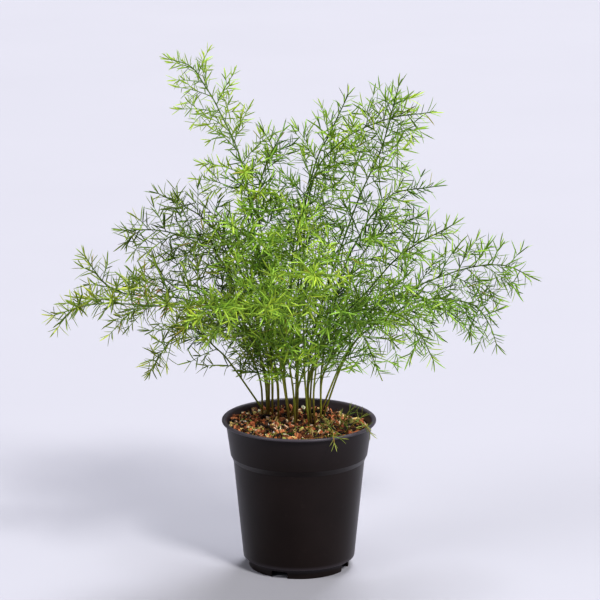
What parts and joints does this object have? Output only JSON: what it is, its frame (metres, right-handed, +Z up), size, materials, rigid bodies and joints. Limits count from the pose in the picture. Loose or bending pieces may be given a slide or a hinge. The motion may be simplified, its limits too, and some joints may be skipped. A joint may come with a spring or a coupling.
{
  "type": "potted asparagus fern",
  "caption": "Potted fern with wiry arching stems of fine needle-like leaves, growing from chunky mix in a round nursery pot.",
  "frame": {"origin": "middle of the plant's outer box, on the surface that the pot stands on; the pot's axis runs through it", "axes": "+Z up along the pot's axis, +X to the right and -Y towards the viewer as pictured"},
  "size_m": [0.4015, 0.3188, 0.4294],
  "materials": {
    "black_plastic": "satin, moulded, slightly scuffed",
    "potting_mix": "rough, chunky husk chips and granules",
    "foliage": "matte, fresh green"
  },
  "bodies": {
    "root": {"pot": "black_plastic", "potting_mix": "potting_mix", "tall_left": "foliage", "top_arching": "foliage", "top_right": "foliage", "top_centre": "foliage", "right_upper": "foliage", "right_long": "foliage", "right_middle": "foliage", "right_drooping": "foliage", "lower_right": "foliage", "front_right": "foliage", "front_centre": "foliage", "front_low": "foliage", "front_left": "foliage", "far_left": "foliage", "far_left_upper": "foliage", "lower_left": "foliage", "left_middle": "foliage", "left_inner": "foliage", "left_upper": "foliage", "upper_front": "foliage", "upper_front_left": "foliage", "back_left": "foliage", "back_centre": "foliage", "back_right": "foliage", "back_low_left": "foliage", "back_low_right": "foliage", "right_low": "foliage", "inner_left": "foliage", "young_shoot_over_rim": "foliage", "young_shoot_front": "foliage", "young_shoot_upright": "foliage"}
  },
  "joints": []
}
